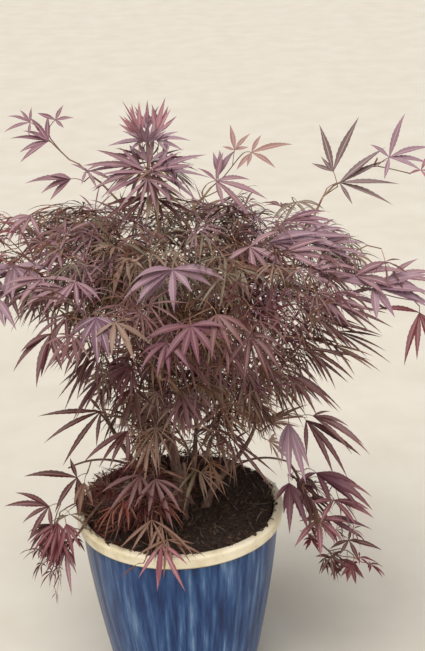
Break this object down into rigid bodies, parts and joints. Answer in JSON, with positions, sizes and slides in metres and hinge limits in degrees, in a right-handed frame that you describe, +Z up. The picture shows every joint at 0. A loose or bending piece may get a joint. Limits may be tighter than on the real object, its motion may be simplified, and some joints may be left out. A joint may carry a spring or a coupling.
{
  "type": "potted japanese maple",
  "caption": "Narrow-leaved purple Japanese maple, with several arching stems and drooping sprays of leaves, in a tapered blue glazed pot with a cream rim.",
  "frame": {"origin": "centre of the pot's flat underside, where it stands on the ground", "axes": "+Z up the pot's axis, -Y towards the front, where the leaves hang over the rim, +X to the right seen from the front"},
  "size_m": [0.9411, 0.7341, 1.1536],
  "materials": {
    "glaze": "glossy blue glaze run down in lighter and darker streaks",
    "rim_glaze": "dull cream glaze, stained and specked with soil",
    "compost": "rough dark crumbly compost",
    "bark": "smooth brown bark with fine cracks and pale pores",
    "leaves_mauve": "soft satin leaf",
    "leaves_plum": "soft satin leaf",
    "leaves_bronze": "soft satin leaf",
    "leaves_pink": "soft satin leaf",
    "leaves_wine": "soft satin leaf"
  },
  "bodies": {
    "root": {"pot_body": "glaze", "pot_rim": "rim_glaze", "soil": "compost", "stem_main": "bark", "stem_left": "bark", "stem_right": "bark", "stem_front": "bark", "stem_back": "bark", "bough_top": "bark", "bough_mid_left": "bark", "bough_mid_right": "bark", "bough_mid_front": "bark", "bough_mid_back": "bark", "bough_low_left": "bark", "bough_rim_left": "bark", "bough_rim_right": "bark", "bough_front_spray": "bark", "bough_back_spray": "bark", "leader_top": "bark", "leader_apex": "bark", "leader_top_left": "bark", "leader_centre_right": "bark", "leader_right": "bark", "leader_far_right": "bark", "spray_top": "leaves_pink", "tier_top": "leaves_mauve", "sprig_top_left": "leaves_pink", "sprig_left": "leaves_mauve", "sprig_centre_right": "leaves_bronze", "sprig_right": "leaves_mauve", "sprig_far_right": "leaves_mauve", "crown_top": "leaves_bronze", "crown_left": "leaves_bronze", "crown_right": "leaves_mauve", "crown_back": "leaves_bronze", "crown_back_left": "leaves_mauve", "crown_back_right": "leaves_mauve", "arm_right": "leaves_mauve", "arm_left": "leaves_mauve", "crown_front_left": "leaves_mauve", "crown_front": "leaves_mauve", "crown_front_right": "leaves_mauve", "mid_left": "leaves_plum", "mid_right": "leaves_plum", "mid_back": "leaves_plum", "mid_front": "leaves_plum", "low_left": "leaves_bronze", "low_right": "leaves_mauve", "low_front": "leaves_plum", "low_back": "leaves_plum", "rim_left": "leaves_mauve", "hanging_left": "leaves_wine", "rim_right": "leaves_mauve", "hanging_right": "leaves_wine", "spray_soil": "leaves_wine", "spray_front": "leaves_pink", "spray_back": "leaves_plum"}
  },
  "joints": []
}
